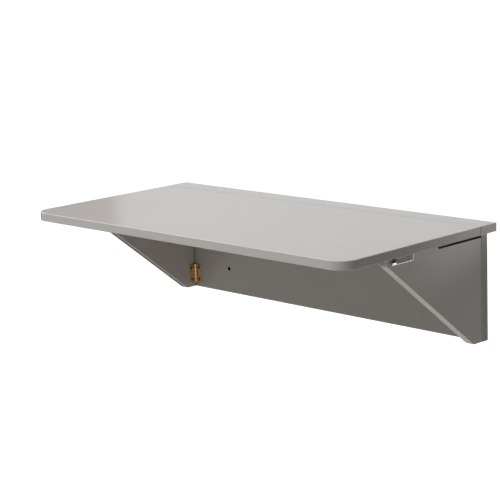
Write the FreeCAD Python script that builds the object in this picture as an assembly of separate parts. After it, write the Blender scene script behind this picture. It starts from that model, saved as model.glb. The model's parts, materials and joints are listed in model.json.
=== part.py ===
"""Wall-mounted folding desk: a hinged leaf on two swinging brackets and a back board.

X runs along the wall, Y points into the wall and Z points up. The origin is the centre of
the back board's rear face. All sizes are in millimetres.
"""
import FreeCAD, Part
import math
import os

from FreeCAD import Vector

# Boards
BOARD = 16.0
ARRIS_R = 1.2

# Work surface: a fixed rail at the wall and the leaf hinged on it
TOP_WIDTH = 800.0
TOP_DEPTH = 400.0
RAIL_DEPTH = 45.0
SEAM = 1.2
LEAF_CORNER_R = 35.0

# Back board, as far inside the ends of the top as END_OVERHANG, and its wall holes
END_OVERHANG = 20.0
BACK_HEIGHT = 200.0
WALL_HOLE_DIA = 8.0
WALL_HOLE_END_INSET = 118.0
WALL_HOLE_EDGE_INSET = 50.0

# Dowels between the rail and the back board
DOWEL_DIA = 8.0
DOWEL_IN_RAIL = 11.0
DOWEL_IN_BACK = 23.0
DOWEL_CHAMFER = 1.0
DOWEL_COUNT = 6
DOWEL_END_INSET = 60.0
DOWEL_CLEARANCE = 0.05
DOWEL_END_ROOM = 0.5

# Brackets: triangles with a blunt nose and a relief that passes the leaf hinges
BRACKET_REACH = 261.0
BRACKET_TOE = 25.5
TOE_R = 15.0
NOSE_HEIGHT = 14.0
NOSE_R = 15.0
NOSE_TOP_R = 2.0
RELIEF_ROOM = 26.5
RELIEF_DEPTH = 10.2
RELIEF_R = 3.0
BRACKET_TOP_GAP = 0.3
BRACKET_REAR_GAP = 0.5

# Butt hinges: sizes shared by both kinds
PLATE_THICKNESS = 1.5
PLATE_CORNER_R = 1.5
PLATE_RIM_R = 0.4
KNUCKLES = 5
KNUCKLE_R = 3.0
KNUCKLE_GAP = 0.5
KNUCKLE_RELIEF = 0.4
KNUCKLE_CHAMFER = 0.3
KNUCKLE_TO_BOARD = 0.3
PIN_R = 1.5
PIN_CLEARANCE = 0.05
PIN_CHAMFER = 0.4

# Bracket hinges
BRACKET_HINGE_LENGTH = 39.0
BRACKET_HINGE_PLATE = 15.5
BRACKET_HINGE_RISE = 29.0
BRACKET_HINGE_FALL = 29.5
BRACKET_SCREW_PITCH = 25.0
BRACKET_SCREW_EDGE = 6.5

# Leaf hinges
LEAF_HINGE_LENGTH = 64.0
LEAF_HINGE_BACK_GAP = 7.6
LEAF_HINGE_INSET = 64.0
LEAF_SCREW_PITCH = 22.0
LEAF_SCREW_EDGE = 6.0
LEAF_SCREW_STAGGER = 7.0

# Countersunk wood screws
SCREW_LENGTH = 13.0
SCREW_HEAD_R = 3.0
SCREW_HEAD_HEIGHT = 1.4
SCREW_SHANK_R = 1.5
SCREW_TIP = 3.0
SCREW_CLEARANCE = 0.1

# Magnetic catches beside the brackets, under the ends of the leaf
STRIP_THICKNESS = 1.5
CATCH_WIDTH = 5.0
CATCH_SETBACK = 19.0
CATCH_TOP_GAP = 1.8
ARM_WIDTH = 3.0
ARM_NOSE = 7.5
ARM_RUN = 46.5
ARM_BEND_R = 1.5
ARM_FOOT_BEND_R = 4.0
ARM_FOOT = 8.0
PAD_LENGTH = 14.0
PAD_WIDTH = 10.0
PAD_CORNER_R = 0.9
MAGNET_LENGTH = 5.0
MAGNET_HEIGHT = 7.2
SHOE_LEAD = 7.0
SHOE_LENGTH = 8.5
SHOE_HEIGHT = 3.0
CAP_LENGTH = 12.5
CAP_THICKNESS = 2.2
BLOCK_ARRIS_R = 0.4
STRIKE_LENGTH = 14.0
STRIKE_HEIGHT = 10.0
STRIKE_CORNER_R = 2.0
STRIKE_GAP = 0.3

# Levels, planes and axes that several pieces share
BACK_WIDTH = TOP_WIDTH - 2 * END_OVERHANG
BACK_BOTTOM = -BACK_HEIGHT / 2
LEAF_UNDERSIDE = BACK_HEIGHT / 2
TOP_SURFACE = LEAF_UNDERSIDE + BOARD
BACK_FRONT = -BOARD
WALL_HOLE_SPAN_X = BACK_WIDTH - 2 * WALL_HOLE_END_INSET
WALL_HOLE_SPAN_Z = BACK_HEIGHT - 2 * WALL_HOLE_EDGE_INSET
DOWEL_PITCH = (BACK_WIDTH - 2 * DOWEL_END_INSET) / (DOWEL_COUNT - 1)
SEAM_REAR = -RAIL_DEPTH
LEAF_REAR = SEAM_REAR - SEAM
BRACKET_OUTER = BACK_WIDTH / 2
BRACKET_INNER = BRACKET_OUTER - BOARD
PIN_TO_BOARD = KNUCKLE_R + KNUCKLE_TO_BOARD
LEAF_PIN_Y = SEAM_REAR - SEAM / 2
LEAF_PIN_Z = LEAF_UNDERSIDE - PIN_TO_BOARD
LEAF_HINGE_PLATE = BACK_FRONT - LEAF_PIN_Y - LEAF_HINGE_BACK_GAP
LEAF_HINGE_X = BRACKET_INNER - LEAF_HINGE_INSET
RELIEF_LENGTH = LEAF_HINGE_INSET + LEAF_HINGE_LENGTH / 2 + RELIEF_ROOM
RELIEF_LEVEL = LEAF_UNDERSIDE - RELIEF_DEPTH
BRACKET_PIN_X = BRACKET_INNER - PIN_TO_BOARD
BRACKET_PIN_Y = BACK_FRONT - PIN_TO_BOARD
BRACKET_HINGE_LOW_Z = BACK_BOTTOM + BRACKET_HINGE_RISE
BRACKET_HINGE_HIGH_Z = RELIEF_LEVEL - BRACKET_HINGE_FALL
CATCH_STACK = STRIP_THICKNESS + SHOE_HEIGHT + MAGNET_HEIGHT + CAP_THICKNESS
CATCH_LOW = LEAF_UNDERSIDE - CATCH_TOP_GAP - CATCH_STACK
CATCH_Y = BACK_FRONT - BRACKET_REACH + CATCH_SETBACK
CATCH_INNER = BRACKET_OUTER + STRIP_THICKNESS + STRIKE_GAP

RIGHT = Vector(1, 0, 0)
LEFT = Vector(-1, 0, 0)
TO_WALL = Vector(0, 1, 0)
TO_ROOM = Vector(0, -1, 0)
UP = Vector(0, 0, 1)
DOWN = Vector(0, 0, -1)


def rounded_face(corners):
    """Flat face of a polygon in the XY plane whose corners are (x, y, radius)."""
    points = [Vector(x, y, 0) for x, y, _ in corners]
    count = len(corners)
    edges = []
    ends = []
    for index, (_, _, radius) in enumerate(corners):
        here = points[index]
        before = (points[index - 1] - here).normalize()
        after = (points[(index + 1) % count] - here).normalize()
        if radius == 0:
            ends.append((here, here))
            continue
        half = before.getAngle(after) / 2
        reach = radius / math.tan(half)
        start = here + before * reach
        end = here + after * reach
        middle = here + (before + after).normalize() * (radius / math.sin(half) - radius)
        edges.append(Part.Arc(start, middle, end).toShape())
        ends.append((start, end))
    for index in range(count):
        start = ends[index][1]
        end = ends[(index + 1) % count][0]
        edges.append(Part.LineSegment(start, end).toShape())
    return Part.Face(Part.Wire(Part.__sortEdges__(edges)))


def rounded_plate(corners, thickness):
    """Plate with a rounded polygon in the XY plane, raised along +Z."""
    return rounded_face(corners).extrude(UP * thickness)


def side_panel(corners, start, width):
    """Panel whose rounded outline is given in (Y, Z), from X = start over a width in +X."""
    panel = rounded_plate(corners, width)
    panel.Placement = FreeCAD.Placement(RIGHT * start, FreeCAD.Rotation(TO_WALL, UP, RIGHT, "XYZ"))
    return panel


def placed(shape, origin, x_dir, out_dir):
    """Copy of a shape with its own X along x_dir and its own Y along out_dir."""
    moved = shape.copy()
    turn = FreeCAD.Rotation(x_dir, out_dir, x_dir.cross(out_dir), "XYZ")
    moved.Placement = FreeCAD.Placement(origin, turn)
    return moved


def mirrored(shape):
    """Copy of a right-hand shape on the left side."""
    return shape.mirror(Vector(0, 0, 0), RIGHT)


def on_level(edge, axis, level):
    """Whether an edge lies flat at a level of the X, Y or Z axis."""
    box = edge.BoundBox
    low = getattr(box, axis + "Min")
    high = getattr(box, axis + "Max")
    return math.isclose(low, level, abs_tol=1e-4) and math.isclose(high, level, abs_tol=1e-4)


def soften(board, keep):
    """Board with the arris rounded on every edge that keep accepts."""
    return board.makeFillet(ARRIS_R, [edge for edge in board.Edges if keep(edge)])


def rod(radius, low, length, chamfer):
    """Round rod along Z from a level upwards, with both ends chamfered."""
    bar = Part.makeCylinder(radius, length, UP * low)
    rims = [edge for edge in bar.Edges if on_level(edge, "Z", low) or on_level(edge, "Z", low + length)]
    return bar.makeChamfer(chamfer, rims)


def countersunk_screw(grow=0.0):
    """Screw along -Y with its head's flat top at the origin; grow makes it a hole cutter."""
    head = SCREW_HEAD_R + grow
    shank = SCREW_SHANK_R + grow
    end = -SCREW_LENGTH - grow
    outline = Part.makePolygon([
        Vector(0, 0, 0),
        Vector(head, 0, 0),
        Vector(shank, -SCREW_HEAD_HEIGHT, 0),
        Vector(shank, end + SCREW_TIP, 0),
        Vector(0, end, 0),
        Vector(0, 0, 0),
    ])
    return Part.Face(outline).revolve(Vector(0, 0, 0), TO_WALL, 360)


def screw_set(places, grow=0.0):
    """Screws at (origin, x_dir, out_dir) places, each head facing out_dir."""
    return [placed(countersunk_screw(grow), *place) for place in places]


def drilled(board, places):
    """Board with the hole of each screw cut from it."""
    return board.cut(screw_set(places, SCREW_CLEARANCE))


def hinge_plate(length, width, has_outer_knuckles):
    """Hinge plate with its pin along Z at the origin, its wood side at -Y and its leaf along +X."""
    back = -PIN_TO_BOARD
    pitch = length / KNUCKLES
    outline = [
        (0, -length / 2, 0),
        (width, -length / 2, PLATE_CORNER_R),
        (width, length / 2, PLATE_CORNER_R),
        (0, length / 2, 0),
    ]
    plate = rounded_plate(outline, PLATE_THICKNESS)
    rims = [edge for edge in plate.Edges if on_level(edge, "Z", 0) and not on_level(edge, "X", 0)]
    plate = plate.makeFillet(PLATE_RIM_R, rims)
    plate.Placement = FreeCAD.Placement(
        Vector(0, back + PLATE_THICKNESS, 0), FreeCAD.Rotation(RIGHT, UP, TO_ROOM, "XYZ")
    )
    for slot in range(KNUCKLES):
        low = slot * pitch - length / 2
        if (slot % 2 == 0) == has_outer_knuckles:
            plate = plate.fuse(rod(KNUCKLE_R, low + KNUCKLE_GAP / 2, pitch - KNUCKLE_GAP, KNUCKLE_CHAMFER))
        else:
            start = Vector(0, 0, low - KNUCKLE_GAP / 2)
            room = Part.makeCylinder(KNUCKLE_R + KNUCKLE_RELIEF, pitch + KNUCKLE_GAP, start)
            plate = plate.cut(room)
    bore = Part.makeCylinder(PIN_R + PIN_CLEARANCE, 2 * length, Vector(0, 0, -length))
    return plate.cut(bore).removeSplitter()


def hinge_pin(length):
    """Pin along Z, centred on the origin, with chamfered ends."""
    return rod(PIN_R, -length / 2, length, PIN_CHAMFER)


def plate_screw_places(origin, x_dir, out_dir, offsets):
    """Places of a hinge plate's screws, from their (along the leaf, along the pin) offsets."""
    along_pin = x_dir.cross(out_dir)
    face = origin + out_dir * (PLATE_THICKNESS - PIN_TO_BOARD)
    return [(face + x_dir * out + along_pin * along, x_dir, out_dir) for out, along in offsets]


def bracket_screw_offsets():
    """Two screws in a row along the pin."""
    out = BRACKET_HINGE_PLATE - BRACKET_SCREW_EDGE
    return [(out, side * BRACKET_SCREW_PITCH / 2) for side in (-1, 1)]


def leaf_screw_offsets():
    """Three screws along the pin, the middle one nearer the plate's outer edge."""
    far = LEAF_HINGE_PLATE - LEAF_SCREW_EDGE
    near = far - LEAF_SCREW_STAGGER
    return [(near, -LEAF_SCREW_PITCH), (far, 0), (near, LEAF_SCREW_PITCH)]


def leaf_hinge_origins():
    """Pin centres of the leaf hinges, by name."""
    names = ("left", "centre", "right")
    return {
        name: Vector((index - 1) * LEAF_HINGE_X, LEAF_PIN_Y, LEAF_PIN_Z)
        for index, name in enumerate(names)
    }


def bracket_hinge_origins():
    """Pin centres of the right bracket's hinges, by name."""
    levels = {"lower": BRACKET_HINGE_LOW_Z, "upper": BRACKET_HINGE_HIGH_Z}
    return {name: Vector(BRACKET_PIN_X, BRACKET_PIN_Y, level) for name, level in levels.items()}


def rail_plate_places():
    """Screw places in all rail plates."""
    return [
        place
        for origin in leaf_hinge_origins().values()
        for place in plate_screw_places(origin, TO_WALL, DOWN, leaf_screw_offsets())
    ]


def leaf_plate_places():
    """Screw places in all leaf plates."""
    return [
        place
        for origin in leaf_hinge_origins().values()
        for place in plate_screw_places(origin, TO_ROOM, DOWN, leaf_screw_offsets())
    ]


def board_plate_places():
    """Screw places in the right bracket hinges' board plates."""
    return [
        place
        for origin in bracket_hinge_origins().values()
        for place in plate_screw_places(origin, LEFT, TO_ROOM, bracket_screw_offsets())
    ]


def bracket_plate_places():
    """Screw places in the right bracket hinges' bracket plates."""
    return [
        place
        for origin in bracket_hinge_origins().values()
        for place in plate_screw_places(origin, TO_ROOM, LEFT, bracket_screw_offsets())
    ]


def arm_screw_place():
    """Place of the right catch arm's screw, in the middle of its pad."""
    y = CATCH_Y + ARM_RUN + ARM_FOOT + PAD_LENGTH / 2
    face = Vector(CATCH_INNER + PAD_WIDTH / 2, y, LEAF_UNDERSIDE - STRIP_THICKNESS)
    return (face, RIGHT, DOWN)


def strike_screw_place():
    """Place of the right strike plate's screw, in its middle."""
    face = Vector(BRACKET_OUTER + STRIP_THICKNESS, CATCH_Y, strike_middle())
    return (face, TO_WALL, RIGHT)


def strike_middle():
    """Height of the strike plate's middle, level with the magnet's stack."""
    return CATCH_LOW + CATCH_STACK / 2


def dowel_positions():
    """Places along X of the dowels."""
    middle = (DOWEL_COUNT - 1) / 2
    return [(index - middle) * DOWEL_PITCH for index in range(DOWEL_COUNT)]


def dowel_holes():
    """Cutters for the dowel holes, which run from the back board into the rail."""
    low = LEAF_UNDERSIDE - DOWEL_IN_BACK - DOWEL_END_ROOM
    length = DOWEL_IN_BACK + DOWEL_IN_RAIL + 2 * DOWEL_END_ROOM
    radius = DOWEL_DIA / 2 + DOWEL_CLEARANCE
    return [Part.makeCylinder(radius, length, Vector(x, -BOARD / 2, low)) for x in dowel_positions()]


def dowels():
    """Chamfered dowels, half hidden in each board."""
    low = LEAF_UNDERSIDE - DOWEL_IN_BACK
    pin = rod(DOWEL_DIA / 2, low, DOWEL_IN_BACK + DOWEL_IN_RAIL, DOWEL_CHAMFER)
    return [pin.translated(Vector(x, -BOARD / 2, 0)) for x in dowel_positions()]


def wall_holes():
    """Cutters for the four wall holes."""
    return [
        Part.makeCylinder(
            WALL_HOLE_DIA / 2,
            BOARD,
            Vector(side * WALL_HOLE_SPAN_X / 2, BACK_FRONT, level * WALL_HOLE_SPAN_Z / 2),
            TO_WALL,
        )
        for side in (-1, 1)
        for level in (-1, 1)
    ]


def back_board():
    """Board against the wall, with its front and end arrises softened below the rail."""
    corner = Vector(-BACK_WIDTH / 2, BACK_FRONT, BACK_BOTTOM)
    board = Part.makeBox(BACK_WIDTH, BOARD, BACK_HEIGHT, corner)
    board = soften(
        board,
        lambda edge: on_level(edge, "Y", BACK_FRONT) and not on_level(edge, "Z", LEAF_UNDERSIDE),
    )
    places = board_plate_places()
    holes = screw_set(places, SCREW_CLEARANCE)
    return board.cut(wall_holes() + dowel_holes() + holes + [mirrored(hole) for hole in holes])


def rear_rail():
    """Fixed rail on the back board's top edge, with its end arrises softened."""
    corner = Vector(-TOP_WIDTH / 2, SEAM_REAR, LEAF_UNDERSIDE)
    rail = Part.makeBox(TOP_WIDTH, RAIL_DEPTH, BOARD, corner)
    ends = (-TOP_WIDTH / 2, TOP_WIDTH / 2)
    levels = (LEAF_UNDERSIDE, TOP_SURFACE)
    rail = soften(
        rail,
        lambda edge: any(on_level(edge, "X", end) for end in ends)
        and any(on_level(edge, "Z", level) for level in levels),
    )
    return drilled(rail.cut(dowel_holes()), rail_plate_places())


def table_leaf():
    """Leaf with rounded front corners and softened arrises on its front and ends."""
    half = TOP_WIDTH / 2
    leaf = rounded_plate(
        [
            (-half, LEAF_REAR, 0),
            (-half, -TOP_DEPTH, LEAF_CORNER_R),
            (half, -TOP_DEPTH, LEAF_CORNER_R),
            (half, LEAF_REAR, 0),
        ],
        BOARD,
    )
    leaf.Placement = FreeCAD.Placement(UP * LEAF_UNDERSIDE, FreeCAD.Rotation())
    levels = (LEAF_UNDERSIDE, TOP_SURFACE)
    leaf = soften(
        leaf,
        lambda edge: any(on_level(edge, "Z", level) for level in levels)
        and not on_level(edge, "Y", LEAF_REAR),
    )
    arm_screws = screw_set([arm_screw_place()], SCREW_CLEARANCE)
    leaf = leaf.cut(arm_screws + [mirrored(screw) for screw in arm_screws])
    return drilled(leaf, leaf_plate_places())


def bracket():
    """Right bracket: nose, long slope, toe, upright rear edge and the relief along its top."""
    rear = BACK_FRONT - BRACKET_REAR_GAP
    top = LEAF_UNDERSIDE - BRACKET_TOP_GAP
    nose = BACK_FRONT - BRACKET_REACH
    relief = BACK_FRONT - RELIEF_LENGTH
    board = side_panel(
        [
            (rear, BACK_BOTTOM, 0),
            (BACK_FRONT - BRACKET_TOE, BACK_BOTTOM, TOE_R),
            (nose, LEAF_UNDERSIDE - NOSE_HEIGHT, NOSE_R),
            (nose, top, NOSE_TOP_R),
            (relief, top, RELIEF_R),
            (relief, RELIEF_LEVEL, RELIEF_R),
            (rear, RELIEF_LEVEL, 0),
        ],
        BRACKET_INNER,
        BOARD,
    )
    faces = (BRACKET_INNER, BRACKET_OUTER)
    board = soften(board, lambda edge: any(on_level(edge, "X", face) for face in faces))
    return drilled(board, bracket_plate_places() + [strike_screw_place()])


def catch_arm():
    """Right catch's arm: a bent strip from its pad under the leaf down and forward to the magnet."""
    front = CATCH_Y - ARM_NOSE
    leg = CATCH_Y + ARM_RUN
    foot = leg + ARM_FOOT
    under = LEAF_UNDERSIDE - STRIP_THICKNESS
    arm = side_panel(
        [
            (front, CATCH_LOW, 0),
            (leg, CATCH_LOW, ARM_BEND_R + STRIP_THICKNESS),
            (leg, under, ARM_FOOT_BEND_R),
            (foot, under, 0),
            (foot, LEAF_UNDERSIDE, 0),
            (leg - STRIP_THICKNESS, LEAF_UNDERSIDE, ARM_FOOT_BEND_R + STRIP_THICKNESS),
            (leg - STRIP_THICKNESS, CATCH_LOW + STRIP_THICKNESS, ARM_BEND_R),
            (front, CATCH_LOW + STRIP_THICKNESS, 0),
        ],
        CATCH_INNER + (CATCH_WIDTH - ARM_WIDTH) / 2,
        ARM_WIDTH,
    )
    outer = CATCH_INNER + PAD_WIDTH
    pad = rounded_plate(
        [
            (CATCH_INNER, foot, PAD_CORNER_R),
            (outer, foot, PAD_CORNER_R),
            (outer, foot + PAD_LENGTH, PAD_CORNER_R),
            (CATCH_INNER, foot + PAD_LENGTH, PAD_CORNER_R),
        ],
        STRIP_THICKNESS,
    )
    arm = arm.fuse(pad.translated(UP * under)).removeSplitter()
    return drilled(arm, [arm_screw_place()])


def catch_block(lead, length, low, height):
    """Block of the right catch's stack, from a lead ahead of its middle, with softened uprights."""
    corner = Vector(CATCH_INNER, CATCH_Y - lead, low)
    block = Part.makeBox(CATCH_WIDTH, length, height, corner)
    uprights = [edge for edge in block.Edges if math.isclose(edge.BoundBox.ZLength, height, rel_tol=1e-4)]
    return block.makeFillet(BLOCK_ARRIS_R, uprights)


def strike_plate():
    """Right strike plate on the bracket's outer face."""
    middle = strike_middle()
    plate = side_panel(
        [
            (CATCH_Y + along * STRIKE_LENGTH / 2, middle + up * STRIKE_HEIGHT / 2, STRIKE_CORNER_R)
            for along, up in ((-1, -1), (1, -1), (1, 1), (-1, 1))
        ],
        BRACKET_OUTER,
        STRIP_THICKNESS,
    )
    return drilled(plate, [strike_screw_place()])


def leaf_hinges():
    """Plates and pins of the hinges between the rail and the leaf."""
    nodes = {}
    rail_plate = hinge_plate(LEAF_HINGE_LENGTH, LEAF_HINGE_PLATE, True)
    leaf_plate = hinge_plate(LEAF_HINGE_LENGTH, LEAF_HINGE_PLATE, False)
    pin = hinge_pin(LEAF_HINGE_LENGTH)
    offsets = leaf_screw_offsets()
    for name, origin in leaf_hinge_origins().items():
        on_rail = placed(rail_plate, origin, TO_WALL, DOWN)
        on_leaf = placed(leaf_plate, origin, TO_ROOM, DOWN)
        rail_places = plate_screw_places(origin, TO_WALL, DOWN, offsets)
        leaf_places = plate_screw_places(origin, TO_ROOM, DOWN, offsets)
        nodes[f"leaf_hinge_{name}_rail_plate"] = drilled(on_rail, rail_places)
        nodes[f"leaf_hinge_{name}_leaf_plate"] = drilled(on_leaf, leaf_places)
        nodes[f"leaf_hinge_{name}_pin"] = placed(pin, origin, TO_ROOM, DOWN)
    nodes["leaf_hinge_rail_screws"] = Part.makeCompound(screw_set(rail_plate_places()))
    nodes["leaf_hinge_leaf_screws"] = Part.makeCompound(screw_set(leaf_plate_places()))
    return nodes


def right_bracket_hinges():
    """Plates and pins of the right bracket's hinges, by the end of their names."""
    nodes = {}
    board_plate = hinge_plate(BRACKET_HINGE_LENGTH, BRACKET_HINGE_PLATE, True)
    bracket_plate = hinge_plate(BRACKET_HINGE_LENGTH, BRACKET_HINGE_PLATE, False)
    pin = hinge_pin(BRACKET_HINGE_LENGTH)
    offsets = bracket_screw_offsets()
    for name, origin in bracket_hinge_origins().items():
        on_board = placed(board_plate, origin, LEFT, TO_ROOM)
        on_bracket = placed(bracket_plate, origin, TO_ROOM, LEFT)
        board_places = plate_screw_places(origin, LEFT, TO_ROOM, offsets)
        bracket_places = plate_screw_places(origin, TO_ROOM, LEFT, offsets)
        nodes[f"hinge_{name}_board_plate"] = drilled(on_board, board_places)
        nodes[f"hinge_{name}_bracket_plate"] = drilled(on_bracket, bracket_places)
        nodes[f"hinge_{name}_pin"] = placed(pin, origin, LEFT, TO_ROOM)
    nodes["hinge_board_screws"] = Part.makeCompound(screw_set(board_plate_places()))
    nodes["hinge_bracket_screws"] = Part.makeCompound(screw_set(bracket_plate_places()))
    return nodes


def right_catch():
    """Pieces of the right catch, by the end of their names."""
    shoe_low = CATCH_LOW + STRIP_THICKNESS
    magnet_low = shoe_low + SHOE_HEIGHT
    cap_low = magnet_low + MAGNET_HEIGHT
    magnet_lead = MAGNET_LENGTH / 2
    shoe = catch_block(SHOE_LEAD, SHOE_LENGTH, shoe_low, SHOE_HEIGHT)
    cap = catch_block(magnet_lead, CAP_LENGTH, cap_low, CAP_THICKNESS)
    return {
        "catch_arm": catch_arm(),
        "catch_magnet": catch_block(magnet_lead, MAGNET_LENGTH, magnet_low, MAGNET_HEIGHT),
        "catch_pole_plates": Part.makeCompound([shoe, cap]),
        "catch_arm_screw": screw_set([arm_screw_place()])[0],
        "catch_strike": strike_plate(),
        "catch_strike_screw": screw_set([strike_screw_place()])[0],
    }


def build():
    """All nodes by name."""
    nodes = {
        "back_board": back_board(),
        "rear_rail": rear_rail(),
        "rail_dowels": Part.makeCompound(dowels()),
        "table_leaf": table_leaf(),
    }
    nodes.update(leaf_hinges())
    one_side = {"bracket": bracket(), **right_bracket_hinges(), **right_catch()}
    for name, shape in one_side.items():
        nodes[f"right_{name}"] = shape
        nodes[f"left_{name}"] = mirrored(shape)
    return nodes


def main():
    """Write one STEP file for each node."""
    os.makedirs("parts", exist_ok=True)
    for name, shape in build().items():
        shape.exportStep(f"parts/{name}.step")


main()
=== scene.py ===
"""Studio looks of a wall-mounted folding desk.

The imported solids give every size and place. This script dresses them in satin grey paint, brass, bright
steel, black ferrite and beech, puts driven screws in the place of the plain ones, and lights the desk
over a pale floor from above, from the front left and along its right end. Lengths are in metres, angles
in degrees and the power of lamps in watts.
"""

import json
import logging
import math
from dataclasses import dataclass
from enum import Enum

import bmesh
import bpy
from mathutils import Matrix, Vector


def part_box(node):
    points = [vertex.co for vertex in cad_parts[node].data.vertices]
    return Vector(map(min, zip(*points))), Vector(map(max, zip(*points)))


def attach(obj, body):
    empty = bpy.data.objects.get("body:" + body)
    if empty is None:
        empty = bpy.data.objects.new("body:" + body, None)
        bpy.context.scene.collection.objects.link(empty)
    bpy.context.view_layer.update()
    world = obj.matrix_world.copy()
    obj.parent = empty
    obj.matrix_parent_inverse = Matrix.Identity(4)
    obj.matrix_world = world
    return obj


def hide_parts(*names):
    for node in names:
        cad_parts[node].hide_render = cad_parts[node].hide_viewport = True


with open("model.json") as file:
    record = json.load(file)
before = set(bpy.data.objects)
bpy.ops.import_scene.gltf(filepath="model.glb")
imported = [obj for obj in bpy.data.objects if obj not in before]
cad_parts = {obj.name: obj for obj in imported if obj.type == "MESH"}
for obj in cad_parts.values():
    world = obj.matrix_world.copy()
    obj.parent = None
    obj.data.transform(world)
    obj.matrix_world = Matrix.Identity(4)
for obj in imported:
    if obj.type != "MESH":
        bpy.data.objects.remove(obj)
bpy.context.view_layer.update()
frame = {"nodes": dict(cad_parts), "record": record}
LOG = logging.getLogger("folding_desk")

MM = 0.001
MERGE_GAP = 0.001 * MM
Pair = tuple[float, float]
Triple = tuple[float, float, float]
Colour = Triple
Source = bpy.types.NodeSocket | float | Colour
Sockets = dict[str, bpy.types.NodeSocket]


class Side(Enum):
    """The two ends of the desk, by their words in the names of nodes."""

    LEFT = "left"
    RIGHT = "right"


class Facing(Enum):
    """Directions that a screw head can face."""

    ROOM = (0.0, -1.0, 0.0)
    DOWN = (0.0, 0.0, -1.0)
    LEFT = (-1.0, 0.0, 0.0)
    RIGHT = (1.0, 0.0, 0.0)

    @property
    def vector(self) -> Vector:
        """The direction as a unit vector."""
        return Vector(self.value)


class Axis(Enum):
    """Axes that can run across a board's thickness, by their socket names."""

    X = "X"
    Y = "Y"
    Z = "Z"


class Graph:
    """One shader tree, filled by short calls."""

    def __init__(self, tree: bpy.types.NodeTree) -> None:
        """Take a tree and empty it."""
        self.tree = tree
        tree.nodes.clear()

    def add(self, kind: str, **settings: object) -> bpy.types.Node:
        """Add a node.

        Args:
            kind: Name of the node type.
            settings: Properties to set on the node.

        Returns:
            The new node.
        """
        node = self.tree.nodes.new(kind)
        for name, value in settings.items():
            setattr(node, name, value)
        return node

    def feed(self, socket: bpy.types.NodeSocket, source: Source) -> None:
        """Give an input its value.

        Args:
            socket: The input.
            source: An output to link, or a plain value to set.
        """
        if isinstance(source, bpy.types.NodeSocket):
            self.tree.links.new(source, socket)
        elif isinstance(source, tuple) and socket.type == "RGBA":
            socket.default_value = (*source, 1.0)
        else:
            socket.default_value = source

    def math(self, operation: str, *sources: Source) -> bpy.types.NodeSocket:
        """Combine numbers.

        Args:
            operation: Name of the Math operation.
            sources: Its operands.

        Returns:
            The result.
        """
        node = self.add("ShaderNodeMath", operation=operation)
        for socket, source in zip(node.inputs, sources):
            self.feed(socket, source)
        return node.outputs[0]

    def spread(
        self, value: Source, low: Source, high: Source, to_low: Source, to_high: Source
    ) -> bpy.types.NodeSocket:
        """Map a number from one range onto another, held at its ends.

        Args:
            value: The number.
            low: Start of its range.
            high: End of its range.
            to_low: Result at the start.
            to_high: Result at the end.

        Returns:
            The mapped number.
        """
        node = self.add("ShaderNodeMapRange", interpolation_type="SMOOTHSTEP")
        for socket, source in zip(node.inputs, (value, low, high, to_low, to_high)):
            self.feed(socket, source)
        return node.outputs["Result"]

    def mix(self, share: Source, start: Source, end: Source) -> bpy.types.NodeSocket:
        """Mix two colours.

        Args:
            share: How much of the second colour shows.
            start: First colour.
            end: Second colour.

        Returns:
            The mixed colour.
        """
        node = self.add("ShaderNodeMix", data_type="RGBA")
        for name, source in (("Factor_Float", share), ("A_Color", start), ("B_Color", end)):
            socket = next(item for item in node.inputs if item.identifier == name)
            self.feed(socket, source)
        return next(item for item in node.outputs if item.identifier == "Result_Color")

    def noise(self, vector: bpy.types.NodeSocket, size: Source, detail: float) -> bpy.types.NodeSocket:
        """Make even noise.

        Args:
            vector: Coordinates in metres.
            size: Size of one blot in metres.
            detail: Octaves of finer noise.

        Returns:
            Noise from 0 to 1.
        """
        scale = 1.0 / size if isinstance(size, float) else self.math("DIVIDE", 1.0, size)
        node = self.add("ShaderNodeTexNoise")
        self.feed(node.inputs["Vector"], vector)
        self.feed(node.inputs["Scale"], scale)
        node.inputs["Detail"].default_value = detail
        return node.outputs["Fac"]

    def stretched(self, vector: bpy.types.NodeSocket, stretch: Triple) -> bpy.types.NodeSocket:
        """Scale coordinates along the three axes.

        Args:
            vector: Coordinates in metres.
            stretch: Factor along X, Y and Z.

        Returns:
            The scaled coordinates.
        """
        node = self.add("ShaderNodeMapping")
        self.feed(node.inputs["Vector"], vector)
        node.inputs["Scale"].default_value = stretch
        return node.outputs["Vector"]

    def place(self) -> bpy.types.NodeSocket:
        """Object coordinates of the shaded point."""
        return self.add("ShaderNodeTexCoord").outputs["Object"]

    def component(self, vector: bpy.types.NodeSocket, axis: Axis) -> bpy.types.NodeSocket:
        """Take one component of a vector.

        Args:
            vector: The vector.
            axis: The component's axis.

        Returns:
            The component.
        """
        node = self.add("ShaderNodeSeparateXYZ")
        self.feed(node.inputs[0], vector)
        return node.outputs[axis.value]

    def slant(self, axis: Axis) -> bpy.types.NodeSocket:
        """Component along an axis of the surface's normal."""
        return self.component(self.add("ShaderNodeTexCoord").outputs["Normal"], axis)


class SocketKind(Enum):
    """Kinds of values that enter and leave a shared effect, by their socket types."""

    NUMBER = "NodeSocketFloat"
    COLOUR = "NodeSocketColor"


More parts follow.
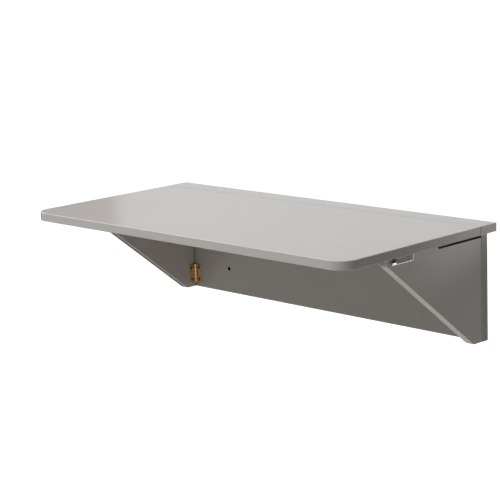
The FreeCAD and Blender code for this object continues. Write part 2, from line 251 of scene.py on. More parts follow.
@dataclass(frozen=True)
class SharedEffect:
    """What every shared effect has: a name and a way to make its shader node group."""

    name: str

    def shell(self, inputs: dict[str, SocketKind]) -> tuple[Graph, Sockets, Sockets]:
        """Make the group, which puts out a surface's colour, roughness and height.

        Args:
            inputs: Kind of each input, by name.

        Returns:
            The group's graph, its inputs as sources and its outputs as targets, by name.
        """
        outputs = {
            "Colour": SocketKind.COLOUR,
            "Roughness": SocketKind.NUMBER,
            "Height": SocketKind.NUMBER,
        }
        tree = bpy.data.node_groups.new(self.name, "ShaderNodeTree")
        for direction, sockets in (("INPUT", inputs), ("OUTPUT", outputs)):
            for name, kind in sockets.items():
                tree.interface.new_socket(name, in_out=direction, socket_type=kind.value)
        graph = Graph(tree)
        entry = graph.add("NodeGroupInput")
        result = graph.add("NodeGroupOutput")
        sources = {name: entry.outputs[name] for name in inputs}
        targets = {name: result.inputs[name] for name in outputs}
        return graph, sources, targets

    def build(self) -> bpy.types.NodeTree:
        """Make the effect's node group."""
        raise NotImplementedError


@dataclass(frozen=True)
class SprayedFilm(SharedEffect):
    """Paint film: fine orange peel, slow clouds in tone and in gloss, and arrises lightened partly by
    wear and partly by a painted highlight.
    """

    cloud: float = 0.16
    cloud_detail: float = 3.0
    cloud_share: float = 0.6
    mist: float = 0.0045
    mist_detail: float = 2.0
    tone_band: Pair = (0.3, 0.7)
    patch: float = 0.035
    patch_detail: float = 4.0
    gloss_band: Pair = (0.25, 0.75)
    wear_and_highlight_band: Pair = (0.25, 0.5)
    least_wear_and_highlight: float = 0.7
    peel_detail: float = 1.5

    def build(self) -> bpy.types.NodeTree:
        """Make the film's node group.

        Returns:
            The node group.
        """
        graph, given, result = self.shell(
            {
                "Colour": SocketKind.COLOUR,
                "Shade": SocketKind.COLOUR,
                "Rubbed": SocketKind.COLOUR,
                "Arris": SocketKind.NUMBER,
                "Peel": SocketKind.NUMBER,
                "Dull": SocketKind.NUMBER,
                "Bright": SocketKind.NUMBER,
            }
        )
        place = graph.place()
        clouds = graph.noise(place, self.cloud, self.cloud_detail)
        slow = graph.math("MULTIPLY", clouds, self.cloud_share)
        mist = graph.noise(place, self.mist, self.mist_detail)
        fine = graph.math("MULTIPLY", mist, 1.0 - self.cloud_share)
        tone = graph.spread(graph.math("ADD", slow, fine), *self.tone_band, 0.0, 1.0)
        film = graph.mix(tone, given["Colour"], given["Shade"])
        patches = graph.noise(place, self.patch, self.patch_detail)
        wear_and_highlight_patches = graph.spread(patches, *self.wear_and_highlight_band, self.least_wear_and_highlight, 1.0)
        # Wear and painted highlight: the arrises are lightened in patches.
        wear_and_highlight = graph.math("MULTIPLY", given["Arris"], wear_and_highlight_patches)
        graph.feed(result["Colour"], graph.mix(wear_and_highlight, film, given["Rubbed"]))
        gloss = graph.spread(patches, *self.gloss_band, given["Bright"], given["Dull"])
        graph.feed(result["Roughness"], gloss)
        graph.feed(result["Height"], graph.noise(place, given["Peel"], self.peel_detail))
        return graph.tree


@dataclass(frozen=True)
class HandledMetal(SharedEffect):
    """Worn metal skin: blots of tarnish and fine drawn lines."""

    blot: float = 0.006
    blot_detail: float = 5.0
    blot_blur: float = 0.15
    blot_share: float = 0.6
    clean_level: float = 0.75
    amount_reach: float = 0.5
    line: float = 0.0012
    line_detail: float = 2.0
    line_stretch: Triple = (3.0, 3.0, 0.12)
    gloss_band: Pair = (0.1, 0.9)

    def build(self) -> bpy.types.NodeTree:
        """Make the skin's node group.

        Returns:
            The node group.
        """
        graph, given, result = self.shell(
            {
                "Colour": SocketKind.COLOUR,
                "Tarnish": SocketKind.COLOUR,
                "Amount": SocketKind.NUMBER,
                "Bright": SocketKind.NUMBER,
                "Dull": SocketKind.NUMBER,
            }
        )
        place = graph.place()
        blots = graph.noise(place, self.blot, self.blot_detail)
        lines = graph.noise(graph.stretched(place, self.line_stretch), self.line, self.line_detail)
        reach = graph.math("MULTIPLY", given["Amount"], self.amount_reach)
        edge = graph.math("SUBTRACT", self.clean_level, reach)
        low = graph.math("SUBTRACT", edge, self.blot_blur)
        high = graph.math("ADD", edge, self.blot_blur)
        worn = graph.spread(blots, low, high, 0.0, 1.0)
        graph.feed(result["Colour"], graph.mix(worn, given["Colour"], given["Tarnish"]))
        dull_blots = graph.math("MULTIPLY", worn, self.blot_share)
        dull_lines = graph.math("MULTIPLY", lines, 1.0 - self.blot_share)
        dull = graph.math("ADD", dull_blots, dull_lines)
        gloss = graph.spread(dull, *self.gloss_band, given["Bright"], given["Dull"])
        graph.feed(result["Roughness"], gloss)
        graph.feed(result["Height"], lines)
        return graph.tree


class Effect(Enum):
    """Surface effects that several materials share."""

    SPRAYED_FILM = SprayedFilm("sprayed film")
    HANDLED_METAL = HandledMetal("handled metal")


class EffectLibrary:
    """Builds each shared effect once and places it in materials."""

    def __init__(self) -> None:
        """Start with no group built."""
        self.groups: dict[Effect, bpy.types.NodeTree] = {}

    def apply(self, graph: Graph, effect: Effect, values: dict[str, Source]) -> bpy.types.Node:
        """Place an effect in a material.

        Args:
            graph: The material's graph.
            effect: The effect.
            values: What each of its inputs gets, by name.

        Returns:
            The effect's node in the material.
        """
        if effect not in self.groups:
            self.groups[effect] = effect.value.build()
        node = graph.add("ShaderNodeGroup", node_tree=self.groups[effect])
        for name, source in values.items():
            graph.feed(node.inputs[name], source)
        return node


EFFECTS = EffectLibrary()


@dataclass(frozen=True)
class Finish:
    """What every finish has: a name and a way to make its material."""

    name: str

    def start(self) -> tuple[bpy.types.Material, Graph, bpy.types.Node]:
        """Make a material with its shader.

        Returns:
            The material, its graph and its surface shader.
        """
        material = bpy.data.materials.new(self.name)
        material.use_nodes = True
        graph = Graph(material.node_tree)
        shader = graph.add("ShaderNodeBsdfPrincipled")
        output = graph.add("ShaderNodeOutputMaterial")
        graph.feed(output.inputs["Surface"], shader.outputs["BSDF"])
        return material, graph, shader

    @staticmethod
    def emboss(graph: Graph, shader: bpy.types.Node, height: Source, depth: float) -> None:
        """Lead a height into a shader's normal.

        Args:
            graph: The material's graph.
            shader: Its shader.
            height: Height from 0 to 1.
            depth: Height in metres of a full step.
        """
        bump = graph.add("ShaderNodeBump")
        bump.inputs["Strength"].default_value = 1.0
        bump.inputs["Distance"].default_value = depth
        graph.feed(bump.inputs["Height"], height)
        graph.feed(shader.inputs["Normal"], bump.outputs["Normal"])

    def material(self) -> bpy.types.Material:
        """Make the finish's material."""
        raise NotImplementedError


@dataclass(frozen=True)
class PaintFinish(Finish):
    """Sprayed satin paint under a smooth lacquer.

    Its arrises are lightened, partly as wear and partly as a painted highlight. Its edge faces are
    darkened by painted shade, and the strip at the rear joint by dust and painted shade. Board that was
    cut after painting is bare and is darkened to near black by painted shade.
    """

    colour: Colour = (0.372, 0.350, 0.336)
    shade: Colour = (0.364, 0.342, 0.327)
    bright: float = 0.39
    dull: float = 0.42
    refraction: float = 1.2
    lacquer: float = 0.75
    lacquer_roughness: float = 0.1
    peel: float = 0.0016
    peel_depth: float = 0.000010
    across: Axis = Axis.Z
    edge_band: Pair = (0.05, 0.3)
    face_band: Pair = (0.92, 0.998)
    # Wear and painted highlight: the light colour laid on the arrises.
    wear_and_highlight: Colour = (0.56, 0.54, 0.525)
    wear_and_highlight_tilt: float = 0.4
    wear_and_highlight_below: float = 1.0
    # Painted shade: a dark colour laid on the edge faces by the edge share below, and laid with dust in
    # the rear joint.
    painted_shade_and_dust: Colour = (0.060, 0.050, 0.045)
    painted_edge_shade: float = 0.0
    joint_level: float | None = None
    joint_reach: float = 3.2 * MM
    joint_dust_and_shade: float = 0.9
    # Painted shade: bare board made near black for the hole walls and the relief floor, where shade
    # falls.
    bare: Colour = (0.030, 0.022, 0.016)
    hole_places: tuple[Pair, ...] = ()
    hole_radius: float = 0.0
    relief_level: float | None = None
    relief_tilt: float = 0.5

    def hole_mask(self, graph: Graph) -> bpy.types.NodeSocket:
        """Find the walls of the drilled holes, whose axes run along Y.

        Args:
            graph: The material's graph.

        Returns:
            1 inside a hole and 0 elsewhere.
        """
        place = graph.place()
        mask: Source = 0.0
        for x, z in self.hole_places:
            across = graph.math("SUBTRACT", graph.component(place, Axis.X), x)
            up = graph.math("SUBTRACT", graph.component(place, Axis.Z), z)
            squares = graph.math("ADD", graph.math("POWER", across, 2.0), graph.math("POWER", up, 2.0))
            inside = graph.math("LESS_THAN", graph.math("SQRT", squares), self.hole_radius)
            mask = graph.math("MAXIMUM", mask, inside)
        return mask

    def relief_mask(self, graph: Graph) -> bpy.types.NodeSocket:
        """Find the floor of a relief in the board's upper edge.

        Args:
            graph: The material's graph.

        Returns:
            1 on faces that look up below the relief's level and 0 elsewhere.
        """
        low = graph.math("LESS_THAN", graph.component(graph.place(), Axis.Z), self.relief_level)
        up = graph.math("GREATER_THAN", graph.slant(Axis.Z), self.relief_tilt)
        return graph.math("MULTIPLY", low, up)

    def arris_mask(self, graph: Graph, slant: bpy.types.NodeSocket) -> bpy.types.NodeSocket:
        """Find the rounded arrises, whose normals lie between the board's faces and its edges.

        Args:
            graph: The material's graph.
            slant: 1 on the board's faces and 0 on its edges.

        Returns:
            1 in the middle of an arris, less where it looks down, and 0 on the flat.
        """
        off_edge = graph.spread(slant, *self.edge_band, 0.0, 1.0)
        arris = graph.math("MULTIPLY", off_edge, graph.spread(slant, *self.face_band, 1.0, 0.0))
        reached = graph.spread(graph.slant(Axis.Z), -self.wear_and_highlight_tilt, self.wear_and_highlight_tilt, self.wear_and_highlight_below, 1.0)
        return graph.math("MULTIPLY", arris, reached)

    def joint_mask(self, graph: Graph) -> bpy.types.NodeSocket:
        """Find the strip along the board's rear edge, which the joint darkens with dust and painted
        shade.

        Args:
            graph: The material's graph.

        Returns:
            1 at the rear edge and 0 from the strip's front on.
        """
        rear = graph.component(graph.place(), Axis.Y)
        return graph.spread(rear, self.joint_level - self.joint_reach, self.joint_level, 0.0, 1.0)

    def material(self) -> bpy.types.Material:
        """Make the paint's material.

        Returns:
            The material.
        """
        material, graph, shader = self.start()
        slant = graph.math("ABSOLUTE", graph.slant(self.across))
        arris = self.arris_mask(graph, slant)
        joint = self.joint_mask(graph) if self.joint_level is not None else None
        if joint is not None:
            arris = graph.math("MULTIPLY", arris, graph.math("SUBTRACT", 1.0, joint))
        film = EFFECTS.apply(
            graph,
            Effect.SPRAYED_FILM,
            {
                "Colour": self.colour,
                "Shade": self.shade,
                "Rubbed": self.wear_and_highlight,
                "Arris": arris,
                "Peel": self.peel,
                "Dull": self.dull,
                "Bright": self.bright,
            },
        )
        colour = film.outputs["Colour"]
        # Painted shade: the edge faces are darkened.
        if self.painted_edge_shade > 0.0:
            on_edge = graph.spread(slant, *self.edge_band, self.painted_edge_shade, 0.0)
            colour = graph.mix(on_edge, colour, self.painted_shade_and_dust)
        # Dust and painted shade darken the strip at the rear joint.
        if joint is not None:
            in_joint = graph.math("MULTIPLY", joint, self.joint_dust_and_shade)
            colour = graph.mix(in_joint, colour, self.painted_shade_and_dust)
        lacquer: Source = self.lacquer
        # Painted shade: the hole walls and the relief floor turn to near-black bare board.
        masks = [self.hole_mask(graph)] if self.hole_places else []
        if self.relief_level is not None:
            masks.append(self.relief_mask(graph))
        for mask in masks:
            colour = graph.mix(mask, colour, self.bare)
            lacquer = graph.math("MULTIPLY", lacquer, graph.math("SUBTRACT", 1.0, mask))
        graph.feed(shader.inputs["Base Color"], colour)
        graph.feed(shader.inputs["Roughness"], film.outputs["Roughness"])
        shader.inputs["IOR"].default_value = self.refraction
        shader.inputs["Coat IOR"].default_value = self.refraction
        graph.feed(shader.inputs["Coat Weight"], lacquer)
        shader.inputs["Coat Roughness"].default_value = self.lacquer_roughness
        self.emboss(graph, shader, film.outputs["Height"], self.peel_depth)
        return material


@dataclass(frozen=True)
class MetalFinish(Finish):
    """Bare or plated metal with tarnish and fine drawn lines."""

    colour: Colour
    tarnish: Colour
    amount: float
    bright: float
    dull: float
    line_depth: float = 0.000006

    def material(self) -> bpy.types.Material:
        """Make the metal's material.

        Returns:
            The material.
        """
        material, graph, shader = self.start()
        skin = EFFECTS.apply(
            graph,
            Effect.HANDLED_METAL,
            {
                "Colour": self.colour,
                "Tarnish": self.tarnish,
                "Amount": self.amount,
                "Bright": self.bright,
                "Dull": self.dull,
            },
        )
        graph.feed(shader.inputs["Base Color"], skin.outputs["Colour"])
        graph.feed(shader.inputs["Roughness"], skin.outputs["Roughness"])
        shader.inputs["Metallic"].default_value = 1.0
        self.emboss(graph, shader, skin.outputs["Height"], self.line_depth)
        return material


@dataclass(frozen=True)
class FerriteFinish(Finish):
    """Pressed black ferrite with a fine grain."""

    colour: Colour = (0.012, 0.012, 0.013)
    grain_colour: Colour = (0.035, 0.034, 0.034)
    grain: float = 0.0004
    grain_detail: float = 3.0
    grain_depth: float = 0.00002
    gloss_band: Pair = (0.3, 0.7)
    bright: float = 0.38
    dull: float = 0.6

    def material(self) -> bpy.types.Material:
        """Make the ferrite's material.

        Returns:
            The material.
        """
        material, graph, shader = self.start()
        grain = graph.noise(graph.place(), self.grain, self.grain_detail)
        graph.feed(shader.inputs["Base Color"], graph.mix(grain, self.colour, self.grain_colour))
        gloss = graph.spread(grain, *self.gloss_band, self.bright, self.dull)
        graph.feed(shader.inputs["Roughness"], gloss)
        self.emboss(graph, shader, grain, self.grain_depth)
        return material


@dataclass(frozen=True)
class BeechFinish(Finish):
    """Bare beech with its grain upright and short dark flecks."""

    colour: Colour = (0.56, 0.37, 0.21)
    late_colour: Colour = (0.40, 0.24, 0.12)
    fleck_colour: Colour = (0.27, 0.15, 0.07)
    upright: Triple = (1.0, 1.0, 0.06)
    ring: float = 0.0016
    ring_detail: float = 3.0
    ring_band: Pair = (0.35, 0.65)
    fleck: float = 0.0006
    fleck_detail: float = 1.0
    fleck_band: Pair = (0.62, 0.7)
    gloss_band: Pair = (0.3, 0.7)
    bright: float = 0.55
    dull: float = 0.72
    grain_depth: float = 0.00003

    def material(self) -> bpy.types.Material:
        """Make the wood's material.

        Returns:
            The material.
        """
        material, graph, shader = self.start()
        along = graph.stretched(graph.place(), self.upright)
        rings = graph.noise(along, self.ring, self.ring_detail)
        specks = graph.noise(along, self.fleck, self.fleck_detail)
        flecks = graph.spread(specks, *self.fleck_band, 0.0, 1.0)
        wood = graph.mix(graph.spread(rings, *self.ring_band, 0.0, 1.0), self.colour, self.late_colour)
        graph.feed(shader.inputs["Base Color"], graph.mix(flecks, wood, self.fleck_colour))
        gloss = graph.spread(rings, *self.gloss_band, self.bright, self.dull)
        graph.feed(shader.inputs["Roughness"], gloss)
        self.emboss(graph, shader, rings, self.grain_depth)
        return material


def dress(node: str, material: bpy.types.Material) -> None:
    """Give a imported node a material.

    Args:
        node: Name of the node.
        material: Its material.
    """
    slots = frame["nodes"][node].material_slots
    for slot in slots:
        slot.link = "OBJECT"
        slot.material = material
    LOG.info("%s: %s", node, material.name)


def solid_boxes(node: str) -> list[tuple[Vector, Vector]]:
    """Find the box of each separate solid in a node.

    Args:
        node: Name of the node.

    Returns:
        Lowest and highest corner of each solid.
    """
    work = bmesh.new()
    work.from_mesh(frame["nodes"][node].data)
    bmesh.ops.remove_doubles(work, verts=work.verts, dist=MERGE_GAP)
    boxes = []
    left = set(work.verts)
    while left:
        island = {left.pop()}
        front = list(island)
        while front:
            for edge in front.pop().link_edges:
                fresh = [vert for vert in edge.verts if vert not in island]
                island.update(fresh)
                front.extend(fresh)
        left -= island
        points = [vert.co for vert in island]
        low = Vector(min(point[axis] for point in points) for axis in range(3))
        high = Vector(max(point[axis] for point in points) for axis in range(3))
        boxes.append((low, high))
    work.free()
    return sorted(boxes, key=lambda box: tuple(box[0]))


@dataclass
class DrivenScrews:
    """Countersunk screws with a cross recess, in the place of a node's plain ones."""

    node: str
    body: str
    slot: str
    facing: Facing
    head_height: float = 1.4 * MM
    shank_share: float = 0.5
    tip: float = 3.0 * MM
    tip_share: float = 0.05
    crown: float = 0.22 * MM
    crown_share: float = 0.78
    recess_reach: float = 1.75 * MM
    recess_width: float = 0.85 * MM
    recess_depth: float = 1.1 * MM
    recess_taper: float = 0.55
    segments: int = 24

    def cross(self, mesh: bmesh.types.BMesh, level: float) -> list[bmesh.types.BMEdge]:
        """Draw the recess's outline.

        Args:
            mesh: The mesh to draw in.
            level: Height of the outline.

        Returns:
            The twelve edges of the cross.
        """
        wide = self.recess_width / 2
        quarter = ((self.recess_reach, -wide), (self.recess_reach, wide), (wide, wide))
        points = [
            Matrix.Rotation(math.radians(90.0 * turn), 3, "Z") @ Vector((x, y, level))
            for turn in range(4)
            for x, y in quarter
        ]
        verts = [mesh.verts.new(point) for point in points]
        return [mesh.edges.new((verts[index - 1], vert)) for index, vert in enumerate(verts)]

    @staticmethod
    def grow(
        mesh: bmesh.types.BMesh, edges: list[bmesh.types.BMEdge], scale: float, step: float
    ) -> list[bmesh.types.BMEdge]:
        """Extrude a loop about the screw's axis.

        Args:
            mesh: The mesh.
            edges: The loop.
            scale: Factor on its radius.
            step: Way along Z.

        Returns:
            The new loop.
        """
        grown = bmesh.ops.extrude_edge_only(mesh, edges=edges)["geom"]
        verts = [item for item in grown if isinstance(item, bmesh.types.BMVert)]
        bmesh.ops.scale(mesh, verts=verts, vec=(scale, scale, 1.0))
        bmesh.ops.translate(mesh, verts=verts, vec=(0.0, 0.0, step))
        return [item for item in grown if isinstance(item, bmesh.types.BMEdge)]

    def one(self, mesh: bmesh.types.BMesh, radius: float, length: float) -> list[bmesh.types.BMVert]:
        """Model one screw along -Z with its rim at the origin's level.

        Args:
            mesh: The mesh to add it to.
            radius: Radius of its head.
            length: Length under the rim.

        Returns:
            The screw's vertices.
        """
        before = set(mesh.verts)
        rim = bmesh.ops.create_circle(mesh, radius=radius, segments=self.segments)["verts"]
        rim_edges = [edge for edge in mesh.edges if edge.verts[0] in rim and edge.verts[1] in rim]
        crown = self.grow(mesh, rim_edges, self.crown_share, self.crown)
        recess = self.cross(mesh, self.crown)
        bmesh.ops.bridge_loops(mesh, edges=crown + recess)
        floor = self.grow(mesh, recess, self.recess_taper, -self.recess_depth)
        bmesh.ops.contextual_create(mesh, geom=floor)
        neck = self.grow(mesh, rim_edges, self.shank_share, -self.head_height)
        shank = self.grow(mesh, neck, 1.0, self.head_height + self.tip - length)
        point = self.grow(mesh, shank, self.tip_share, -self.tip)
        bmesh.ops.contextual_create(mesh, geom=point)
        return [vert for vert in mesh.verts if vert not in before]

    def build(self, material: bpy.types.Material) -> bpy.types.Object:
        """Model all the node's screws as one piece and seat it.

        Args:
            material: The screws' material.

        Returns:
            The piece.
        """
        work = bmesh.new()
        out = self.facing.vector
        along = max(range(3), key=lambda axis: abs(out[axis]))
        across = (along + 1) % 3
        for low, high in solid_boxes(self.node):
            middle = (low + high) / 2
            middle[along] = high[along] if out[along] > 0 else low[along]
            radius = (high[across] - low[across]) / 2
            verts = self.one(work, radius, high[along] - low[along])
            turn = Vector((0.0, 0.0, 1.0)).rotation_difference(out).to_matrix().to_4x4()
            bmesh.ops.transform(work, matrix=Matrix.Translation(middle) @ turn, verts=verts)
        bmesh.ops.recalc_face_normals(work, faces=work.faces)
        data = bpy.data.meshes.new(f"{self.node}_driven")
        work.to_mesh(data)
        work.free()
        data.materials.append(material)
        piece = bpy.data.objects.new(data.name, data)
        bpy.context.scene.collection.objects.link(piece)
        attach(piece, self.body)
        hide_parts(self.node)
        LOG.info("%s: %d faces on %s", piece.name, len(data.polygons), self.body)
        return piece


@dataclass
class Boards:
    """The painted boards: back board, rail, leaf and brackets, with the dowels inside them."""

    paint: PaintFinish = PaintFinish("satin grey paint, top", wear_and_highlight_below=0.1)
    wood: BeechFinish = BeechFinish("bare beech")
    level_boards: tuple[str, ...] = ("rear_rail", "table_leaf")
    # Painted shade on the back board's edge faces.
    back_painted_edge_shade: float = 0.3
    hole_room: float = 0.05 * MM
    # Painted light: the top's paint made lighter, standing in for light that the lamps don't give the
    # brackets.
    bracket_lightened_colour: Colour = (0.424, 0.399, 0.383)
    bracket_lightened_shade: Colour = (0.415, 0.390, 0.373)
    # Wear and painted highlight: a primer colour, lighter still, laid on the brackets' arrises.
    bracket_primer_and_highlight: Colour = (0.80, 0.78, 0.755)
    # Painted shade on the brackets' edge faces.
    bracket_painted_edge_shade: float = 0.5
    relief_step: float = 5.0 * MM

    def drilled_paint(self) -> PaintFinish:
        """Paint of the back board: painted shade on its edge faces, and bare board darkened to near black
        by painted shade inside the wall holes that the record gives.

        Returns:
            The finish.
        """
        bolts = next(mount for mount in frame["record"]["mounts"] if mount["name"] == "wall_bolts")
        middle_x, _, middle_z = bolts["pos_m"]
        sizes = bolts["dims"]
        half_x = sizes["spacing_x_mm"] * MM / 2
        half_z = sizes["spacing_y_mm"] * MM / 2
        return PaintFinish(
            "satin grey paint, back",
            across=Axis.Y,
            painted_edge_shade=self.back_painted_edge_shade,
            hole_places=tuple(
                (middle_x + across, middle_z + up)
                for across in (-half_x, half_x)
                for up in (-half_z, half_z)
            ),
            hole_radius=sizes["hole_r_mm"] * MM + self.hole_room,
        )

    def relieved_paint(self) -> PaintFinish:
        """Paint of the brackets: the top's paint lightened as painted light, with painted shade on the
        edges and at the rear joint, and bare board darkened by painted shade on the relief that lies more
        than a step under their top.

        Returns:
            The finish.
        """
        rear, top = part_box("right_bracket")[1][1:]
        return PaintFinish(
            "satin grey paint, brackets",
            colour=self.bracket_lightened_colour,
            shade=self.bracket_lightened_shade,
            wear_and_highlight=self.bracket_primer_and_highlight,
            across=Axis.X,
            painted_edge_shade=self.bracket_painted_edge_shade,
            joint_level=rear,
            relief_level=top - self.relief_step,
        )

    def build(self) -> None:
        """Dress the boards and the dowels."""
        paint = self.paint.material()
        for node in self.level_boards:
            dress(node, paint)
        dress("back_board", self.drilled_paint().material())
        relieved = self.relieved_paint().material()
        for side in Side:
            dress(f"{side.value}_bracket", relieved)
        dress("rail_dowels", self.wood.material())


@dataclass
class Hinges:
    """The brass butt hinges: plates, pins and screws."""

    brass: MetalFinish = MetalFinish(
        "stamped brass",
        colour=(0.44, 0.32, 0.19),
        tarnish=(0.28, 0.185, 0.10),
        amount=0.4,
        bright=0.36,
        dull=0.55,
    )
    pin_brass: MetalFinish = MetalFinish(
        "drawn brass",
        colour=(0.58, 0.37, 0.16),
        tarnish=(0.30, 0.16, 0.05),
        amount=0.3,
        bright=0.2,
        dull=0.4,
    )
    screw_brass: MetalFinish = MetalFinish(
        "dark brass plating",
        colour=(0.22, 0.125, 0.045),
        tarnish=(0.09, 0.045, 0.015),
        amount=0.6,
        bright=0.3,
        dull=0.55,
    )
    leaf_places: tuple[str, ...] = ("left", "centre", "right")
    bracket_levels: tuple[str, ...] = ("lower", "upper")
    screw_slot: str = "hinge_screw"

    def plates(self) -> list[str]:
        """Name all plates.

        Returns:
            The nodes' names.
        """
        on_leaf = [
            f"leaf_hinge_{place}_{half}_plate" for place in self.leaf_places for half in ("rail", "leaf")
        ]
        on_brackets = [
            f"{side.value}_hinge_{level}_{half}_plate"
            for side in Side
            for level in self.bracket_levels
            for half in ("board", "bracket")
        ]
        return on_leaf + on_brackets

    def pins(self) -> list[str]:
        """Name all pins.

        Returns:
            The nodes' names.
        """
        on_leaf = [f"leaf_hinge_{place}_pin" for place in self.leaf_places]
        on_brackets = [
            f"{side.value}_hinge_{level}_pin" for side in Side for level in self.bracket_levels
        ]
        return on_leaf + on_brackets

    def screws(self) -> list[DrivenScrews]:
        """List the sets of hinge screws.

        Returns:
            One set for each screw node.
        """
        sets = [
            DrivenScrews("leaf_hinge_rail_screws", "wall_frame", self.screw_slot, Facing.DOWN),
            DrivenScrews("leaf_hinge_leaf_screws", "leaf", self.screw_slot, Facing.DOWN),
        ]
        inward = {Side.LEFT: Facing.RIGHT, Side.RIGHT: Facing.LEFT}
        for side in Side:
            board = f"{side.value}_hinge_board_screws"
            sets.append(DrivenScrews(board, "wall_frame", self.screw_slot, Facing.ROOM))
            bracket = f"{side.value}_hinge_bracket_screws"
            sets.append(DrivenScrews(bracket, f"{side.value}_bracket", self.screw_slot, inward[side]))
        return sets

    def build(self) -> None:
        """Dress the plates and pins, and model the screws."""
        brass = self.brass.material()
        for node in self.plates():
            dress(node, brass)
        pin_brass = self.pin_brass.material()
        for node in self.pins():
            dress(node, pin_brass)
        screw_brass = self.screw_brass.material()
        for screws in self.screws():
            screws.build(screw_brass)


@dataclass
class Catches:
    """The magnetic catches beside the brackets."""

    steel: MetalFinish = MetalFinish(
        "bright nickel",
        colour=(0.80, 0.79, 0.77),
        tarnish=(0.62, 0.60, 0.58),
        amount=0.25,
        bright=0.24,
        dull=0.4,
    )
    satin: MetalFinish = MetalFinish(
        "satin nickel",
        colour=(0.50, 0.49, 0.475),
        tarnish=(0.36, 0.35, 0.335),
        amount=0.4,
        bright=0.32,
        dull=0.5,
    )
    zinc: MetalFinish = MetalFinish(
        "bright zinc",
        colour=(0.62, 0.62, 0.62),
        tarnish=(0.38, 0.38, 0.39),
        amount=0.35,
        bright=0.2,
        dull=0.4,
    )
    ferrite: FerriteFinish = FerriteFinish("black ferrite")
    satin_pieces: tuple[str, ...] = ("arm", "strike")
    screw_slot: str = "catch_screw"

    def build(self) -> None:
        """Dress both catches and model their screws."""
        steel = self.steel.material()
        satin = self.satin.material()
        zinc = self.zinc.material()
        ferrite = self.ferrite.material()
        outward = {Side.LEFT: Facing.LEFT, Side.RIGHT: Facing.RIGHT}
        for side in Side:
            for piece in self.satin_pieces:
                dress(f"{side.value}_catch_{piece}", satin)
            dress(f"{side.value}_catch_pole_plates", steel)
            dress(f"{side.value}_catch_magnet", ferrite)
            arm = f"{side.value}_catch_arm_screw"
            DrivenScrews(arm, "leaf", self.screw_slot, Facing.DOWN).build(zinc)
            strike = f"{side.value}_catch_strike_screw"
            DrivenScrews(strike, f"{side.value}_bracket", self.screw_slot, outward[side]).build(zinc)


@dataclass(frozen=True)
class Softbox:
    """One rectangular studio lamp, with an open beam or a narrow one."""

    name: str
    place: Triple
    aim: Triple
    size: Pair
    power: float
    colour: Colour = (0.98, 1.0, 1.02)
    mirrored: bool = True
    beam: float = 180.0

    def build(self) -> None:
        """Hang the lamp and turn it to its aim."""
        lamp = bpy.data.lights.new(self.name, "AREA")
        lamp.shape = "RECTANGLE"
        lamp.size, lamp.size_y = self.size
        lamp.energy = self.power
        lamp.color = self.colour
        lamp.spread = math.radians(self.beam)
        holder = bpy.data.objects.new(self.name, lamp)
        holder.location = self.place
        way = Vector(self.aim) - Vector(self.place)
        holder.rotation_euler = way.to_track_quat("-Z", "Y").to_euler()
        holder.visible_camera = False
        holder.visible_glossy = self.mirrored
        bpy.context.scene.collection.objects.link(holder)
        LOG.info("%s: %.3f W", self.name, self.power)


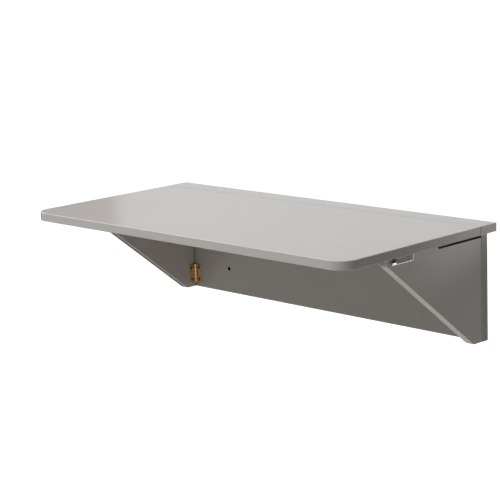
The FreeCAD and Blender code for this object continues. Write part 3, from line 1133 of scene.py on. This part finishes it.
@dataclass
class Studio:
    """Pale floor, white surround, lamps and camera."""

    floor_level: float = -0.75
    floor_reach: float = 30.0
    floor_colour: Colour = (0.77, 0.74, 0.68)
    floor_lift: float = 0.75
    shadow_reach: float = 0.9
    white_reach: float = 2.2
    ambient: float = 0.15
    white: Colour = (1.0, 1.0, 1.0)
    flat_azimuth: float = 50.0
    flat_blur: float = 0.012
    flat_end: float = 0.6
    flat_fade: float = 0.2
    flat_colour: Colour = (0.42, 0.37, 0.33)
    flat_foot: Pair = (-0.7, -0.8)
    foot_blur: float = 0.25
    foot_colour: Colour = (0.08, 0.07, 0.06)
    lamps: tuple[Softbox, ...] = (
        Softbox(
            "overhead softbox",
            place=(-0.5, -0.4, 2.3),
            aim=(0.0, -0.2, 0.1),
            size=(2.4, 2.0),
            power=33.0,
        ),
        Softbox(
            "front left softbox",
            place=(-0.5, -2.7, 2.1),
            aim=(0.0, -0.3, 0.1),
            size=(1.6, 1.2),
            power=82.0,
        ),
        Softbox(
            "rear right strip",
            place=(0.62, 0.12, 0.15),
            aim=(0.4, -0.05, 0.115),
            size=(0.2, 0.03),
            power=0.019,
            mirrored=False,
            beam=34.0,
        ),
    )
    camera_place: Triple = (1.98640, -2.16867, 0.63754)
    camera_azimuth: float = 45.428
    camera_elevation: float = 11.795
    camera_roll: float = -2.230
    lens_mm: float = 111.51
    sensor_mm: float = 36.0
    near_clip: float = 0.05

    @staticmethod
    def seen(graph: Graph) -> bpy.types.NodeSocket:
        """Tell the rays that show the surround itself.

        Args:
            graph: The graph of the floor or the world.

        Returns:
            1 for rays from the camera, a mirror or glass, and 0 for other rays.
        """
        path = graph.add("ShaderNodeLightPath").outputs
        mirrored = graph.math("MAXIMUM", path["Is Glossy Ray"], path["Is Transmission Ray"])
        return graph.math("MAXIMUM", path["Is Camera Ray"], mirrored)

    def mirrored_foot(self, graph: Graph) -> bpy.types.NodeSocket:
        """Find the floor under the grey flat, which only glossy faces mirror.

        Args:
            graph: The floor's graph.

        Returns:
            1 under the flat for mirrored rays, and 0 elsewhere.
        """
        x, y = self.flat_foot
        left = graph.spread(graph.component(graph.place(), Axis.X), x - self.foot_blur, x, 1.0, 0.0)
        rear = graph.spread(graph.component(graph.place(), Axis.Y), y, y + self.foot_blur, 0.0, 1.0)
        glossy = graph.add("ShaderNodeLightPath").outputs["Is Glossy Ray"]
        return graph.math("MULTIPLY", graph.math("MULTIPLY", left, rear), glossy)

    def floor_material(self) -> bpy.types.Material:
        """Make the floor's material, which looks white and still takes the desk's shadow.

        Returns:
            The material.
        """
        material = bpy.data.materials.new("pale floor")
        material.use_nodes = True
        graph = Graph(material.node_tree)
        foot = self.mirrored_foot(graph)
        matt = graph.add("ShaderNodeBsdfDiffuse")
        graph.feed(matt.inputs["Color"], graph.mix(foot, self.floor_colour, self.foot_colour))
        length = graph.add("ShaderNodeVectorMath", operation="LENGTH")
        graph.feed(length.inputs[0], graph.place())
        away = length.outputs["Value"]
        lift = graph.spread(away, self.shadow_reach, self.white_reach, self.floor_lift, 1.0)
        white = graph.math("MULTIPLY", self.seen(graph), lift)
        bare = graph.math("SUBTRACT", 1.0, foot)
        glow = graph.add("ShaderNodeEmission")
        graph.feed(glow.inputs["Strength"], graph.math("MULTIPLY", white, bare))
        both = graph.add("ShaderNodeAddShader")
        graph.feed(both.inputs[0], matt.outputs["BSDF"])
        graph.feed(both.inputs[1], glow.outputs["Emission"])
        output = graph.add("ShaderNodeOutputMaterial")
        graph.feed(output.inputs["Surface"], both.outputs["Shader"])
        return material

    def floor(self) -> None:
        """Lay the floor under the desk."""
        work = bmesh.new()
        bmesh.ops.create_grid(work, x_segments=1, y_segments=1, size=self.floor_reach)
        bmesh.ops.translate(work, verts=work.verts, vec=(0.0, 0.0, self.floor_level))
        data = bpy.data.meshes.new("floor")
        work.to_mesh(data)
        work.free()
        data.materials.append(self.floor_material())
        plane = bpy.data.objects.new("floor", data)
        bpy.context.scene.collection.objects.link(plane)

    def mirrored_surround(self, graph: Graph) -> bpy.types.NodeSocket:
        """Colour the surround that glossy faces mirror: white, with a tall grey flat at the left.

        Args:
            graph: The world's graph.

        Returns:
            The colour of each direction.
        """
        edge = math.radians(self.flat_azimuth)
        way = graph.add("ShaderNodeVectorMath", operation="DOT_PRODUCT")
        graph.feed(way.inputs[0], graph.add("ShaderNodeTexCoord").outputs["Generated"])
        way.inputs[1].default_value = (-math.cos(edge), -math.sin(edge), 0.0)
        across = way.outputs["Value"]
        near = graph.spread(across, 0.0, self.flat_blur, 0.0, 1.0)
        far = graph.spread(across, self.flat_end, self.flat_end + self.flat_fade, 1.0, 0.0)
        flat = graph.math("MULTIPLY", near, far)
        glossy = graph.add("ShaderNodeLightPath").outputs["Is Glossy Ray"]
        return graph.mix(graph.math("MULTIPLY", flat, glossy), self.white, self.flat_colour)

    def surround(self) -> None:
        """Make the world white to look at and softer as a light."""
        world = bpy.data.worlds.new("white surround")
        world.use_nodes = True
        graph = Graph(world.node_tree)
        light = graph.add("ShaderNodeBackground")
        graph.feed(light.inputs["Color"], self.white)
        light.inputs["Strength"].default_value = self.ambient
        white = graph.add("ShaderNodeBackground")
        graph.feed(white.inputs["Color"], self.mirrored_surround(graph))
        choice = graph.add("ShaderNodeMixShader")
        graph.feed(choice.inputs[0], self.seen(graph))
        graph.feed(choice.inputs[1], light.outputs["Background"])
        graph.feed(choice.inputs[2], white.outputs["Background"])
        output = graph.add("ShaderNodeOutputWorld")
        graph.feed(output.inputs["Surface"], choice.outputs["Shader"])
        bpy.context.scene.world = world

    def camera(self) -> None:
        """Stand the camera where the photograph was taken."""
        lens = bpy.data.cameras.new("photo camera")
        lens.lens = self.lens_mm
        lens.sensor_width = self.sensor_mm
        lens.clip_start = self.near_clip
        holder = bpy.data.objects.new("photo camera", lens)
        turn = (
            Matrix.Rotation(math.radians(self.camera_azimuth), 4, "Z")
            @ Matrix.Rotation(math.radians(90.0 - self.camera_elevation), 4, "X")
            @ Matrix.Rotation(math.radians(self.camera_roll), 4, "Z")
        )
        holder.matrix_world = Matrix.Translation(Vector(self.camera_place)) @ turn
        bpy.context.scene.collection.objects.link(holder)
        bpy.context.scene.camera = holder

    def build(self) -> None:
        """Set up the whole studio."""
        bpy.context.scene.view_settings.view_transform = "Standard"
        self.floor()
        self.surround()
        for lamp in self.lamps:
            lamp.build()
        self.camera()


def main() -> None:
    """Build the desk and its studio."""
    logging.basicConfig(level=logging.INFO, format="%(name)s: %(message)s")
    for assembly in (Boards(), Hinges(), Catches(), Studio()):
        LOG.info("building %s", type(assembly).__name__)
        assembly.build()


if __name__ == "__main__":
    main()
